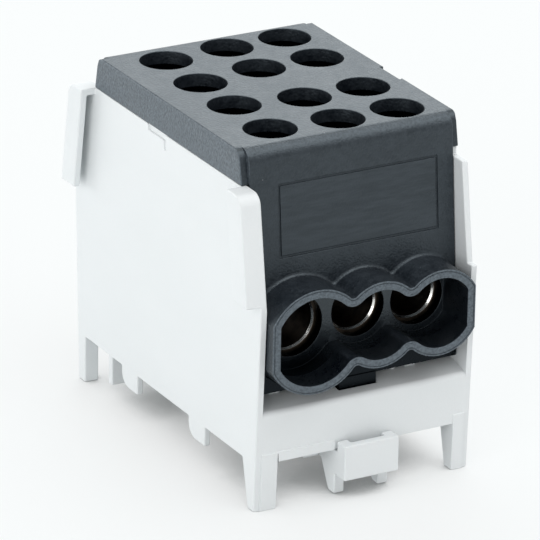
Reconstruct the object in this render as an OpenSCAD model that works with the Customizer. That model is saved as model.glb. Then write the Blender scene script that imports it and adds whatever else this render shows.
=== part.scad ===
// Rail-mounted distribution terminal block, one pole, three conductors passing through.
// Millimetres. X runs across the conductors, Y along them (front is -Y), Z up.
// The origin lies under the middle of the overall box, on the plane the feet stand on.

/* [Conductors] */
// Diameter of the large conductor's bore
main_bore_d = 9.8; // [8:0.2:10.4]
// Diameter of the two smaller conductors' bores
branch_bore_d = 8.8; // [7:0.2:9.4]
// Height of the large bore's axis above the feet
main_bore_z = 30.6; // [29.6:0.2:33]
// Height of the smaller bores' axes above the feet
branch_bore_z = 31.4; // [29.6:0.2:33]
// Spacing of the smaller conductors, and of the screws along them
branch_pitch = 11.5; // [10.5:0.1:13]
// Spacing of the large conductor from its neighbour, and of the screws along it
main_pitch = 12.5; // [11.5:0.1:14]

/* [Clamp screws] */
// Diameter of a screw's threaded hole
screw_d = 8; // [6:0.5:8.5]
// Radial clearance of a screw in its hole
thread_gap = 0.05; // [0.02:0.01:0.1]
// Length of a screw
screw_len = 12; // [9:0.5:14]
// Hexagon socket, across the flats
key_size = 4; // [3:0.5:5]
// Depth of the hexagon socket
key_depth = 5; // [3:0.5:7]
// Height of the chamfer on a screw's tip
tip_chamfer = 1.2; // [0.4:0.1:1.6]
// Gap between a screw's tip and the conductor bore when wide open
tip_gap = 0.5; // [0.2:0.1:1]
// Distance of the smaller conductors' inner screws from the block's middle
branch_inner_y = 8; // [6:0.5:9]
// Distance of the large conductor's inner screws from the block's middle
main_inner_y = 6; // [6:0.5:9]

/* [Terminal body] */
// Metal below the lowest bore
body_floor = 1.7; // [1.5:0.1:4]
// Length of the screw threads above the highest bore
thread_len = 8.2; // [7:0.1:10]
// Metal past the outermost screws' axes at each end
end_margin = 5.9; // [5.5:0.1:8]
// Chamfer round the metal's end faces
body_chamfer = 0.5; // [0.2:0.1:1]
// Chamfer round the mouths of the conductor bores
bore_chamfer = 0.4; // [0.2:0.1:0.8]

/* [Insulating insert] */
// Height of the insert's top above the metal
cover_h = 19; // [14:0.5:24]
// Radial clearance of a screwdriver well round its screw hole
well_gap = 0.65; // [0.4:0.05:0.9]
// Thickness of the insert's side shell
shell_t = 1.2; // [0.9:0.1:1.6]
// Outside radius of the collar's lobe round the large conductor
main_lobe_r = 9.4; // [9:0.1:10.5]
// Outside radius of the collar's lobes round the smaller conductors
branch_lobe_r = 7.8; // [7.4:0.1:9]
// How much the outer sides of the lobes are cut flat
lobe_trim = 1; // [0.5:0.1:1.5]
// Thickness of the collar's wall
collar_t = 1.5; // [1:0.1:1.8]
// Radius of the valleys between the lobes
valley_r = 1; // [0.5:0.1:2]
// Distance of the collar's mouth from the block's middle
collar_y = 35.75; // [33.5:0.25:40]
// Thickness of the collar's floor in front of the metal
collar_floor = 1.9; // [1.4:0.1:2.2]
// Radial clearance of the entry holes round the conductor bores
entry_gap = 0.7; // [0.4:0.1:1.2]
// Lean of the front and rear panels, in degrees
panel_lean = 5; // [3:0.5:7]
// How far a panel stands in front of the metal, at the foot of the rim
panel_step = 1.5; // [1.2:0.1:2]
// Height of the panel's lower edge below the lowest lobe
panel_drop = 0.9; // [0.5:0.1:1.5]
// Height of the rim that sits on the walls
rim_h = 6; // [4:0.5:9]
// How far the rim's ends stand back from the panels
rim_setback = 0.4; // [0.3:0.1:1.5]
// Lean of the rim's ends, in degrees
rim_lean = 11; // [6:1:16]
// Radius of the top corners of the rim's ends
rim_r = 2.2; // [0.4:0.1:2.8]
// Radius of the top edge over the front and rear panels
edge_r = 2.6; // [1:0.1:3.5]
// Radius of the top edge along the sides
side_r = 0.3; // [0.2:0.1:1]
// Length of the shallow recess in the right side of the rim
recess_len = 6.7; // [4:0.1:9]
// Distance of that recess from the block's middle, towards the front
recess_y = 4.15; // [3:0.05:9]
// Depth of that recess
recess_t = 0.7; // [0.3:0.1:1]
// Width of the line engraved round the label field
line_w = 0.4; // [0.2:0.1:0.8]
// Depth of that line
line_t = 0.3; // [0.1:0.1:0.5]
// Width of the label field
label_w = 30.8; // [20:0.2:34]
// Height of the label field along the panel
label_h = 13; // [8:0.5:13.5]
// Distance of the label field's middle to the right of the block's middle
label_x = 1.1; // [-1:0.1:2]
// Distance of the label field's top below the foot of the rim
label_drop = 0.6; // [0:0.1:2]
// Width of the latch tongues under the panels
tongue_w = 7.2; // [4:0.2:9]
// Thickness of the latch tongues
tongue_t = 1.8; // [1:0.1:2]
// Length of the latch tongues below the panels
tongue_len = 3.4; // [2.5:0.1:5]

/* [Base housing] */
// Clearance between mouldings that fit together
fit_gap = 0.2; // [0.1:0.05:0.3]
// Thickness of the side walls
wall_t = 1.15; // [0.9:0.05:1.6]
// Depth of the walls at the feet
depth_foot = 64.4; // [62:0.2:68]
// Depth of the walls at their widest level
depth_wide = 67.6; // [65:0.2:70]
// Depth of the walls at their top
depth_top = 61.9; // [60:0.1:64]
// Height of the widest level, where the hooks begin
wide_z = 38; // [34:0.5:42]
// Radius of the upper corners of the left wall and its hooks
wall_r = 2.2; // [0.5:0.1:3]
// Height of the walls' lower edge, the aprons and the floor above the feet
skirt_z = 8.7; // [7.7:0.1:10]
// Thickness of the floor, the aprons and the shelves
apron_t = 1.5; // [1:0.1:2]
// Gap between a shelf's front edge and the insert's panel, in height
shelf_drop = 2.3; // [2:0.1:3]
// Slope of the shelves, in degrees
shelf_slope = 12; // [6:1:13]
// Rounding of the aprons' upper edge
apron_r = 1; // [0.4:0.1:1.6]
// How far the hollow beams behind the aprons reach back from the panels' faces
beam_d = 3.75; // [3.6:0.05:5]
// Width of the left front foot
foot_wide = 4.3; // [3:0.1:6]
// Width of the right front foot
foot_narrow = 3.3; // [2:0.1:5]
// Depth of a front foot at its sole
foot_sole = 2.1; // [1.5:0.1:3]
// Depth of a front foot where it joins the wall
foot_root = 4.5; // [3.5:0.1:6]
// Width of the rear feet
rear_foot_w = 2.7; // [2:0.1:5]
// Depth of the rear feet at their soles, below an upright inner edge
rear_foot_d = 2.5; // [1.5:0.1:4]
// Height of the proud strip along the aprons' lower edge
strip_h = 1.8; // [1:0.1:3]
// How far that strip stands proud
strip_t = 0.3; // [0.1:0.1:0.5]
// Thickness of the pedestals that carry the metal
pedestal_t = 2; // [1.2:0.2:4]
// Distance of the pedestals from the block's middle
pedestal_y = 13; // [8:0.5:18]
// Half width of the pads under the panels
pad_w = 1; // [0.5:0.1:1.5]
// Half width of the rib beside the right pad
rib_w = 0.4; // [0.3:0.1:0.8]
// Depth of the pads and ribs under the panels
pad_d = 1.4; // [1:0.1:2]
// How far the pads and ribs stand back from the panel's face
pad_back = 2.2; // [1.8:0.1:2.4]
// Distance of the left pad from the large conductor's axis, outwards
left_pad_x = 3.7; // [2:0.1:6]
// Distance of the right pad from the right conductor's axis, inwards
right_pad_x = 1.2; // [-1:0.1:2]
// Distance of the rib from the right conductor's axis, inwards
rib_x = 4.5; // [4:0.1:6]
// Length of the shallow notch in the left wall's top edge
notch_len = 6.4; // [4:0.1:9]
// Distance of the notch's middle from the block's middle, towards the rear
notch_y = 3.5; // [0:0.1:8]
// Height of the notch
notch_h = 1.1; // [0.5:0.1:1.4]
// Depth of the notch into the wall
notch_t = 0.35; // [0.2:0.05:0.6]
// Width of the slit at the notch's front end
slit_w = 0.6; // [0.3:0.1:1]
// Height of the slit
slit_h = 2.8; // [1.6:0.1:4]

/* [Joining hooks] */
// Thickness of a hook's plate
hook_t = 1.25; // [0.8:0.05:2]
// Clearance of the neighbour's wall in a hook's slot
slot_gap = 0.35; // [0.2:0.05:0.6]
// Length of a hook's plate along the wall
hook_len = 4.8; // [4:0.1:6]
// Thickness of a hook's end web
hook_web = 1.3; // [1:0.1:2.4]
// Thickness of a hook's cap
hook_cap = 1.3; // [1:0.1:3]

/* [Rail and clip] */
// Width of the mounting rail
rail_w = 35; // [34:0.5:36]
// Thickness of the mounting rail
rail_t = 1; // [1:0.1:1.5]
// Distance of the rail's middle behind the block's middle
rail_y = 0.5; // [0:0.1:1]
// Height of the rail seat, the underside of the wall tabs
seat_z = 5.2; // [4.6:0.1:6]
// Width of a wall tab
tab_w = 5.95; // [4:0.05:7]
// Distance of a wall tab's inner side from the rail's middle
tab_y = 9.35; // [8:0.05:10.5]
// Radius of a wall tab's lower corner
tab_r = 2.6; // [0.5:0.1:3]
// Clearance round the rail's edges
rail_gap = 0.3; // [0.2:0.05:0.5]
// Room between the rail's rear edge and the wall of the fixed hook
hook_room = 3.5; // [1:0.1:4]
// How far the fixed hook and the clip's nose reach under the rail
lip_reach = 1.7; // [1:0.1:2.2]
// Depth of the lips below the rail
lip_t = 1.6; // [1.2:0.1:2]
// Thickness of the walls that carry the lips
lip_wall = 1.5; // [1.2:0.1:2.5]
// Half width of the fixed hook
fixed_w = 8; // [5:0.5:12]
// Width of the clip across its legs
clip_w = 10.6; // [9:0.2:12]
// Thickness of the clip's legs
clip_leg_t = 2; // [1.4:0.1:2.6]
// Running clearance of the clip
clip_gap = 0.3; // [0.25:0.05:0.4]
// Thickness of the clip's plate
clip_plate_t = 1.4; // [1:0.1:1.8]
// How far the clip's plate runs out into its guides
clip_flange = 1.7; // [1.2:0.1:2.4]
// Height of the clip's front box
clip_box_h = 6.4; // [5.5:0.1:7]
// Height of the front box above the floor's underside
clip_box_rise = 1.55; // [1:0.05:2.5]
// Thickness of the front box's wall
clip_box_t = 1.5; // [1:0.1:1.8]
// Depth of the front box, front to back
clip_box_d = 2.8; // [2.6:0.1:4]
// Thickness of the front box's bottom
clip_box_floor = 1.4; // [1:0.1:2.5]
// Length of the clip's stroke up to its stop
clip_stroke = 3.3; // [2.5:0.1:4]
// Length of the clip's guides
guide_len = 5; // [4:0.2:6]
// Thickness of the guides
guide_t = 1.2; // [1:0.1:1.8]
// Radius of the front corner of a leg's sole
leg_r = 0.3; // [0.1:0.1:0.6]
// Clearance of the legs' soles above the plane the feet stand on
sole_gap = 0.2; // [0.1:0.1:0.6]

/* [Hidden] */
$fn = 64;
// Cutting bodies run past the surface they open by this much
over = 1;
// A valley's arc bites this far into the lobes beside it, so that the arcs cross
bite = 0.02;
pale_grey = [0.89, 0.91, 0.92];
black = [0.20, 0.21, 0.23];
metal = [0.72, 0.71, 0.69];
dark_steel = [0.36, 0.36, 0.37];

// Columns of conductors, left to right: x, z, bore radius, lobe radius
lobe_span = main_lobe_r + main_pitch + branch_pitch + branch_lobe_r;
main_x = main_lobe_r - lobe_span / 2;
near_x = main_x + main_pitch;
far_x = near_x + branch_pitch;
COLUMNS = [
    [main_x, main_bore_z, main_bore_d / 2, main_lobe_r],
    [near_x, branch_bore_z, branch_bore_d / 2, branch_lobe_r],
    [far_x, branch_bore_z, branch_bore_d / 2, branch_lobe_r]];
// Rows of screws for each column, front to rear
main_rows = [-main_inner_y - main_pitch, -main_inner_y, main_inner_y, main_inner_y + main_pitch];
branch_rows = [-branch_inner_y - branch_pitch, -branch_inner_y,
    branch_inner_y, branch_inner_y + branch_pitch];
ROWS = [main_rows, branch_rows, branch_rows];

// Widths across the block, from the metal outwards
insert_w = lobe_span - 2 * lobe_trim;
pocket_w = insert_w - 2 * shell_t;
body_w = pocket_w - 2 * fit_gap;
inner_w = insert_w + 2 * fit_gap;
housing_w = inner_w + 2 * wall_t;
hook_out = wall_t + slot_gap + hook_t;
frame_x = hook_out / 2;

// Heights
bore_top = max(main_bore_z + main_bore_d / 2, branch_bore_z + branch_bore_d / 2);
bore_bottom = min(main_bore_z - main_bore_d / 2, branch_bore_z - branch_bore_d / 2);
body_bottom = bore_bottom - body_floor;
body_top = bore_top + thread_len;
total_h = body_top + cover_h;
wall_h = total_h - rim_h;
lobe_bottom = min(main_bore_z - main_lobe_r, branch_bore_z - branch_lobe_r);
panel_bottom = lobe_bottom - panel_drop;
apron_top = panel_bottom - shelf_drop;
floor_top = skirt_z + apron_t;

// Depths from the block's middle
body_half = max(main_inner_y + main_pitch, branch_inner_y + branch_pitch) + end_margin;
pocket_half = body_half + fit_gap;
panel_half = body_half + panel_step;
floor_y = pocket_half + collar_floor;
function panel_y(z) = panel_half + (wall_h - z) * tan(panel_lean);
function rim_y(z) = panel_half - rim_setback - (z - wall_h) * tan(rim_lean);
function edge_y(z) = z < wide_z
    ? (depth_foot + (depth_wide - depth_foot) * z / wide_z) / 2
    : (depth_wide + (depth_top - depth_wide) * (z - wide_z) / (wall_h - wide_z)) / 2;
shelf_front = edge_y(apron_top);
beam_back = panel_y(panel_bottom) - beam_d;
function shelf_z(y) = apron_top + (shelf_front - y) * tan(shelf_slope);

// Rail, clip and guides, as distances from the block's middle and heights
rail_edge = rail_w / 2;
lip_top = seat_z - rail_t - rail_gap;
lip_bottom = lip_top - lip_t;
nose_tip = rail_edge - rail_y - lip_reach;
nose_face = rail_edge - rail_y + 2 * rail_gap;
nose_back = nose_face + lip_wall;
hook_tip = rail_edge + rail_y - lip_reach;
hook_face = rail_edge + rail_y + hook_room;
plate_top = skirt_z - clip_gap;
plate_bottom = plate_top - clip_plate_t;
flange_w = clip_w + 2 * clip_flange;
guide_back = nose_back + clip_stroke;
guide_front = guide_back + guide_len;
guide_in = flange_w / 2 + clip_gap;
box_top = skirt_z + clip_box_rise;
box_bottom = box_top - clip_box_h;
box_back = edge_y(box_top) + clip_gap;
box_front = box_back + clip_box_d;

// Corner of a path turned into an arc of radius r
function unit(v) = v / norm(v);
function arc_corner(p, a, b, r, n) =
    let (u = unit(a - p), v = unit(b - p), half = acos(u * v) / 2)
    let (c = p + unit(u + v) * r / sin(half))
    let (s = p + u * r / tan(half) - c, e = p + v * r / tan(half) - c)
    let (a0 = atan2(s.y, s.x), a1 = atan2(e.y, e.x))
    let (turn = (a1 - a0 + 540) % 360 - 180)
    [for (i = [0 : n]) c + r * [cos(a0 + turn * i / n), sin(a0 + turn * i / n)]];
function rounded(path, radii, n = 8) = [for (i = [0 : len(path) - 1])
    let (before = path[(i + len(path) - 1) % len(path)], after = path[(i + 1) % len(path)])
    each radii[i] > 0 ? arc_corner(path[i], before, after, radii[i], n) : [path[i]]];

// Outline in Y and Z, drawn out along X from x0 to x1
module slab(x0, x1) {
    translate([x0, 0, 0])
        rotate([90, 0, 90])
            linear_extrude(x1 - x0)
                children();
}

// Outline in X and Z, drawn out along Y from y0 to y1
module prism(y0, y1) {
    translate([0, y1, 0])
        rotate([90, 0, 0])
            linear_extrude(y1 - y0)
                children();
}

module box(lo, hi) {
    translate(lo)
        cube(hi - lo);
}

// The same thing at the front and, mirrored, at the rear
module both_ends() {
    children();
    mirror([0, 1, 0])
        children();
}

// Moves a piece from the walls' middle plane to the frame's origin
module placed() {
    translate([frame_x, 0, 0])
        children();
}

module along_y(x, z, r, y0, y1) {
    translate([x, y1, z])
        rotate([90, 0, 0])
            cylinder(r = r, h = y1 - y0);
}

// Fill between two neighbouring lobes, hollowed by the valley's arc, above and below
module valley(a, b, inset) {
    ra = a[3] + valley_r - bite;
    rb = b[3] + valley_r - bite;
    from = [a[0], a[1]];
    to = [b[0], b[1]];
    gap = norm(to - from);
    along = unit(to - from);
    across = [-along.y, along.x];
    reach = (ra * ra - rb * rb + gap * gap) / (2 * gap);
    rise = sqrt(ra * ra - reach * reach);
    for (side = [-1, 1]) {
        tip = from + along * reach + across * side * rise;
        difference() {
            polygon([from, tip, to]);
            translate(tip)
                circle(r = valley_r + inset);
        }
    }
}

// Lobes round the three conductors, less a wall thickness, cut flat at the sides
module lobes(inset) {
    intersection() {
        union() {
            for (c = COLUMNS)
                translate([c[0], c[1]])
                    circle(r = c[3] - inset);
            for (i = [0, 1])
                valley(COLUMNS[i], COLUMNS[i + 1], inset);
        }
        translate([-insert_w / 2 + inset, 0])
            square([insert_w - 2 * inset, total_h]);
    }
}

module insert_profile() {
    low = panel_y(panel_bottom);
    high = panel_y(total_h);
    polygon(rounded(
        [[-low, panel_bottom], [-high, total_h], [high, total_h], [low, panel_bottom]],
        [0, edge_r, edge_r, 0]));
}

// Rim that overhangs the insert's sides and sits on the wall tops
module rim() {
    half = housing_w / 2;
    intersection() {
        slab(-half, half)
            polygon(rounded([[-rim_y(wall_h), wall_h], [-rim_y(total_h), total_h],
                [rim_y(total_h), total_h], [rim_y(wall_h), wall_h]], [0, rim_r, rim_r, 0]));
        prism(-panel_half, panel_half)
            polygon(rounded([[-half, wall_h], [-half, total_h], [half, total_h], [half, wall_h]],
                [0, side_r, side_r, 0]));
    }
}

// Line engraved round the label field, square to the leaning front panel
module label_line() {
    half = [label_w / 2, label_h / 2];
    low = wall_h - label_drop - label_h * cos(panel_lean);
    translate([label_x, -panel_y(low), low])
        rotate([-panel_lean, 0, 0])
            prism(-over, line_t)
                translate([0, label_h / 2])
                    difference() {
                        square(2 * half, center = true);
                        square(2 * half - 2 * [line_w, line_w], center = true);
                    }
}

tongue_front = panel_y(panel_bottom) + fit_gap;

module latch_tongue() {
    box([-tongue_w / 2, -tongue_front, panel_bottom - tongue_len],
        [tongue_w / 2, -tongue_front + tongue_t, panel_bottom + fit_gap]);
}

module insulating_insert() {
    color(black)
        placed()
            difference() {
                union() {
                    slab(-insert_w / 2, insert_w / 2)
                        insert_profile();
                    rim();
                    both_ends() {
                        prism(-collar_y, -floor_y)
                            lobes(0);
                        latch_tongue();
                    }
                }
                box([-pocket_w / 2, -pocket_half, panel_bottom - over],
                    [pocket_w / 2, pocket_half, body_top + fit_gap]);
                both_ends()
                    prism(-collar_y - over, -floor_y)
                        lobes(collar_t);
                for (c = COLUMNS)
                    along_y(c[0], c[1], c[2] + entry_gap, -floor_y - over, floor_y + over);
                for (i = [0 : 2])
                    for (y = ROWS[i])
                        translate([COLUMNS[i][0], y, body_top])
                            cylinder(r = screw_d / 2 + well_gap, h = cover_h + over);
                box([housing_w / 2 - recess_t, -recess_y - recess_len / 2, wall_h - over],
                    [housing_w / 2 + over, -recess_y + recess_len / 2, total_h + over]);
                label_line();
            }
}

// Chamfer at the front end of a conductor bore
module bore_mouth(c) {
    translate([c[0], -body_half - over, c[1]])
        rotate([-90, 0, 0])
            cylinder(r1 = c[2] + bore_chamfer + over, r2 = c[2], h = bore_chamfer + over);
}

module terminal_body() {
    color(metal)
        placed()
            difference() {
                slab(-body_w / 2, body_w / 2)
                    polygon([[-body_half, body_bottom + body_chamfer],
                        [-body_half, body_top - body_chamfer],
                        [-body_half + body_chamfer, body_top],
                        [body_half - body_chamfer, body_top],
                        [body_half, body_top - body_chamfer],
                        [body_half, body_bottom + body_chamfer],
                        [body_half - body_chamfer, body_bottom],
                        [-body_half + body_chamfer, body_bottom]]);
                for (i = [0 : 2]) {
                    c = COLUMNS[i];
                    along_y(c[0], c[1], c[2], -body_half - over, body_half + over);
                    both_ends()
                        bore_mouth(c);
                    for (y = ROWS[i])
                        translate([c[0], y, c[1]])
                            cylinder(r = screw_d / 2, h = body_top - c[1] + over);
                }
            }
}

// Grub screw standing open: its tip just clear of the conductor bore
module clamp_screw(column, row) {
    c = COLUMNS[column];
    r = screw_d / 2 - thread_gap;
    color(dark_steel)
        placed()
            translate([c[0], ROWS[column][row], c[1] + c[2] + tip_gap])
                difference() {
                    union() {
                        cylinder(r1 = r - tip_chamfer, r2 = r, h = tip_chamfer);
                        translate([0, 0, tip_chamfer])
                            cylinder(r = r, h = screw_len - tip_chamfer);
                    }
                    translate([0, 0, screw_len - key_depth])
                        cylinder(d = key_size / cos(30), h = key_depth + over, $fn = 6);
                }
}

// Lower edge of a wall, front to rear: feet and rail tabs
rear_foot_in = edge_y(0) - rear_foot_d;
front_tab = [rail_y - tab_y - tab_w, rail_y - tab_y];
rear_tab = [rail_y + tab_y, rail_y + tab_y + tab_w];
WALL_LOW = [
    [-edge_y(0), 0], [-edge_y(0) + foot_sole, 0], [-edge_y(skirt_z) + foot_root, skirt_z],
    [front_tab[0], skirt_z], [front_tab[0], seat_z], [front_tab[1], seat_z], [front_tab[1], skirt_z],
    [rear_tab[0], skirt_z], [rear_tab[0], seat_z], [rear_tab[1], seat_z], [rear_tab[1], skirt_z],
    [rear_foot_in, skirt_z], [rear_foot_in, 0], [edge_y(0), 0]];
LOW_RADII = [0, 0, 0, 0, 0, tab_r, 0, 0, 0, tab_r, 0, 0, 0, 0];

// Shallow notch in the outer face of the left wall's top edge, with a slit at its front end
module wall_notch() {
    front = notch_y - notch_len / 2;
    rear = notch_y + notch_len / 2;
    slab(-housing_w / 2 - over, -housing_w / 2 + notch_t)
        polygon([[front, wall_h + over], [front, wall_h - slit_h], [front + slit_w, wall_h - slit_h],
            [front + slit_w, wall_h - notch_h], [rear, wall_h - notch_h], [rear, wall_h + over]]);
}

module left_wall() {
    top = [[edge_y(wide_z), wide_z], [edge_y(wall_h), wall_h],
        [-edge_y(wall_h), wall_h], [-edge_y(wide_z), wide_z]];
    difference() {
        slab(-housing_w / 2, -inner_w / 2)
            polygon(rounded(concat(WALL_LOW, top), concat(LOW_RADII, [0, wall_r, wall_r, 0])));
        wall_notch();
    }
}

// The right wall's upper edges stand back, so that they enter the hooks of a neighbour
module right_wall() {
    back = hook_web + fit_gap;
    tip = wall_h - hook_cap - fit_gap;
    stop = edge_y(wall_h) - hook_len - fit_gap;
    half = [[edge_y(wide_z), wide_z], [edge_y(wide_z) - back, wide_z],
        [edge_y(tip) - back, tip], [stop, tip], [stop, wall_h]];
    mirrored = [for (i = [len(half) - 1 : -1 : 0]) [-half[i].x, half[i].y]];
    slab(inner_w / 2, housing_w / 2)
        polygon(rounded(concat(WALL_LOW, half, mirrored),
            concat(LOW_RADII, [for (i = half) 0], [for (i = half) 0])));
}

// Hook on the outside of the left wall, at the front, with a slot that is open below and towards the middle
module hook() {
    outer = -housing_w / 2 - hook_out;
    low = [-edge_y(wide_z), wide_z];
    high = [-edge_y(wall_h), wall_h];
    cap = [-edge_y(wall_h - hook_cap), wall_h - hook_cap];
    past = hook_len + over;
    difference() {
        slab(outer, -housing_w / 2 + wall_t / 2)
            polygon(rounded([low, high, high + [hook_len, 0], low + [hook_len, 0]], [0, wall_r, 0, 0]));
        slab(outer + hook_t, -housing_w / 2)
            polygon([low + [hook_web, -over], low + [hook_web, 0], cap + [hook_web, 0],
                [high.x + past, cap.y], low + [past, -over]]);
    }
}

module front_foot(x0, x1) {
    slab(x0, x1)
        polygon([[-edge_y(0), 0], [-edge_y(0) + foot_sole, 0],
            [-edge_y(skirt_z) + foot_root, skirt_z], [-edge_y(skirt_z) + foot_root, floor_top],
            [-edge_y(floor_top), floor_top]]);
}

module rear_foot(x0, x1) {
    slab(x0, x1)
        polygon([[rear_foot_in, 0], [edge_y(0), 0],
            [edge_y(floor_top), floor_top], [rear_foot_in, floor_top]]);
}

// Apron, shelf and back wall of a hollow beam, open below
module beam() {
    inner_front = shelf_front - apron_t;
    inner_back = beam_back + apron_t;
    slab(-inner_w / 2 - wall_t / 2, inner_w / 2 + wall_t / 2)
        difference() {
            polygon(rounded([[-edge_y(skirt_z), skirt_z], [-shelf_front, apron_top],
                [-beam_back, shelf_z(beam_back)], [-beam_back, skirt_z]], [0, apron_r, 0, 0]));
            polygon([[-edge_y(skirt_z) + apron_t, skirt_z - over],
                [-inner_front, shelf_z(inner_front) - apron_t],
                [-inner_back, shelf_z(inner_back) - apron_t], [-inner_back, skirt_z - over]]);
        }
}

// Opening in a shelf for the insert's latch tongue
module latch_slot() {
    half = tongue_w / 2 + fit_gap;
    box([-half, -tongue_front - fit_gap, apron_top - apron_t - over],
        [half, -tongue_front + tongue_t + fit_gap, panel_bottom]);
}

// Proud strip along an apron from the height low, so that it can run down over a foot
module strip(x0, x1, low) {
    high = skirt_z + strip_h;
    slab(x0, x1)
        polygon([[-edge_y(low) - strip_t, low], [-edge_y(high) - strip_t, high],
            [-edge_y(high) + apron_t / 2, high], [-edge_y(low) + apron_t / 2, low]]);
}

// Seat for the insert's panel on the shelf
module pad(x, half) {
    front = panel_y(panel_bottom) - pad_back;
    slab(x - half, x + half)
        polygon([[-front, shelf_z(front) - apron_t / 2], [-front, panel_bottom],
            [-front + pad_d, panel_bottom], [-front + pad_d, shelf_z(front - pad_d) - apron_t / 2]]);
}

// Guide of the rail clip under the floor, on the right
module guide() {
    prism(-guide_front, -guide_back)
        polygon([[guide_in, floor_top - apron_t / 2], [guide_in, plate_bottom - clip_gap],
            [clip_w / 2 + clip_gap, plate_bottom - clip_gap],
            [clip_w / 2 + clip_gap, plate_bottom - clip_gap - guide_t],
            [guide_in + guide_t, plate_bottom - clip_gap - guide_t],
            [guide_in + guide_t, floor_top - apron_t / 2]]);
}

// Lip that reaches under the rail from the wall behind it; top is the height the wall rises to
module lip(face, tip, top) {
    polygon([[-face - lip_wall, top], [-face, top], [-face, lip_top],
        [-tip, lip_top], [-tip, lip_top - lip_t / 3],
        [-face, lip_bottom], [-face - lip_wall, lip_bottom]]);
}

module base_housing() {
    half = housing_w / 2;
    grip = wall_t / 2;
    color(pale_grey)
        placed() {
            difference() {
                union() {
                    left_wall();
                    right_wall();
                    both_ends() {
                        hook();
                        beam();
                        pad(main_x - left_pad_x, pad_w);
                        pad(far_x - right_pad_x, pad_w);
                        pad(far_x - rib_x, rib_w);
                    }
                    box([-inner_w / 2 - grip, -beam_back - apron_t, skirt_z],
                        [inner_w / 2 + grip, beam_back + apron_t, floor_top]);
                    both_ends()
                        box([-body_w / 2, -pedestal_y - pedestal_t / 2, floor_top - apron_t / 2],
                            [body_w / 2, -pedestal_y + pedestal_t / 2, body_bottom]);
                    front_foot(-half, -half + foot_wide);
                    front_foot(half - foot_narrow, half);
                    rear_foot(-half, -half + rear_foot_w);
                    rear_foot(half - rear_foot_w, half);
                    strip(-inner_w / 2, -clip_w / 2 - clip_gap, skirt_z);
                    strip(-inner_w / 2, -half + foot_wide, 0);
                    strip(half - foot_narrow, inner_w / 2, 0);
                    guide();
                    mirror([1, 0, 0])
                        guide();
                    mirror([0, 1, 0])
                        slab(-fixed_w, fixed_w)
                            lip(hook_face, hook_tip, floor_top - apron_t / 2);
                    box([-inner_w / 2, hook_face, lip_bottom],
                        [inner_w / 2, hook_face + lip_wall, floor_top - apron_t / 2]);
                }
                both_ends()
                    latch_slot();
            }
        }
}

// Spring-loaded foot of the block: pulled forward by a screwdriver in its front box to let go of the rail
module rail_clip() {
    half = clip_w / 2;
    leg_front = edge_y(0);
    color(pale_grey)
        placed() {
            difference() {
                box([-half, -box_front, box_bottom], [half, -box_back, box_top]);
                box([-half + clip_leg_t, -box_front + clip_box_t, box_bottom + clip_box_floor],
                    [half - clip_leg_t, -box_back + over, box_top + over]);
            }
            for (side = [0, 1])
                mirror([side, 0, 0])
                    slab(half - clip_leg_t, half)
                        polygon(rounded(
                            [[-box_back, plate_top], [-nose_back, plate_top],
                                [-nose_back, seat_z], [-leg_front + foot_root + sole_gap, seat_z],
                                [-leg_front + foot_sole, sole_gap], [-leg_front, sole_gap],
                                [-leg_front, box_bottom], [-box_back, box_bottom]],
                            [0, 0, 0, 0, foot_sole / 2, leg_r, 0, 0]));
            box([-half, -box_back, plate_bottom], [half, -guide_front, plate_top]);
            box([-flange_w / 2, -guide_front, plate_bottom], [flange_w / 2, -nose_face, plate_top]);
            slab(-flange_w / 2, flange_w / 2)
                lip(nose_face, nose_tip, plate_top);
        }
}

base_housing();
insulating_insert();
terminal_body();
rail_clip();
clamp_screw(0, 0);  // clamp_screw_1
clamp_screw(0, 1);  // clamp_screw_2
clamp_screw(0, 2);  // clamp_screw_3
clamp_screw(0, 3);  // clamp_screw_4
clamp_screw(1, 0);  // clamp_screw_5
clamp_screw(1, 1);  // clamp_screw_6
clamp_screw(1, 2);  // clamp_screw_7
clamp_screw(1, 3);  // clamp_screw_8
clamp_screw(2, 0);  // clamp_screw_9
clamp_screw(2, 1);  // clamp_screw_10
clamp_screw(2, 2);  // clamp_screw_11
clamp_screw(2, 3);  // clamp_screw_12
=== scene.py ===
"""Dresses a rail-mounted terminal block: moulded shells, plated metal, grub screws, studio and camera.

Every length is in metres and every point is in the frame of the solids: X across the conductors, Y along them
from front to rear, Z up.
"""

import logging
import math
from dataclasses import dataclass, field
from enum import Enum
from functools import partial
from typing import Any, Callable, Sequence, Union

import bmesh
import bpy
import numpy as np
from mathutils import Matrix, Vector


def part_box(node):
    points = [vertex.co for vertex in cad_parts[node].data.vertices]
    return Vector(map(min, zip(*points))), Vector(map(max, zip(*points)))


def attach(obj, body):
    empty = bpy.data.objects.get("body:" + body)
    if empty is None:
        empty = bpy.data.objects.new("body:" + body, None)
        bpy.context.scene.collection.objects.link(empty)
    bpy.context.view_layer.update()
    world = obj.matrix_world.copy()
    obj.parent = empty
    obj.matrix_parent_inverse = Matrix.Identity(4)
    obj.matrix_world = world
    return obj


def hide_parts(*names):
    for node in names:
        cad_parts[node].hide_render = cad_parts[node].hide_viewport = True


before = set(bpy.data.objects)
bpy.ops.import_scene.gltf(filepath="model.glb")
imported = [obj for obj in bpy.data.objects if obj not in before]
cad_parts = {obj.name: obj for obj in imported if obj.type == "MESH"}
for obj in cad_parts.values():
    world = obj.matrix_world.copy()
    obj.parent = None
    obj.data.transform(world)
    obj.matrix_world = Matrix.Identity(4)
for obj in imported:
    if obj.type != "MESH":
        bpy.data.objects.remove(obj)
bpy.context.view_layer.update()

logging.basicConfig(level=logging.INFO, format="%(levelname)s %(message)s")
log = logging.getLogger("terminal_block")

Colour = tuple[float, float, float]
Number = Union[int, float]
MM = 0.001

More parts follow.
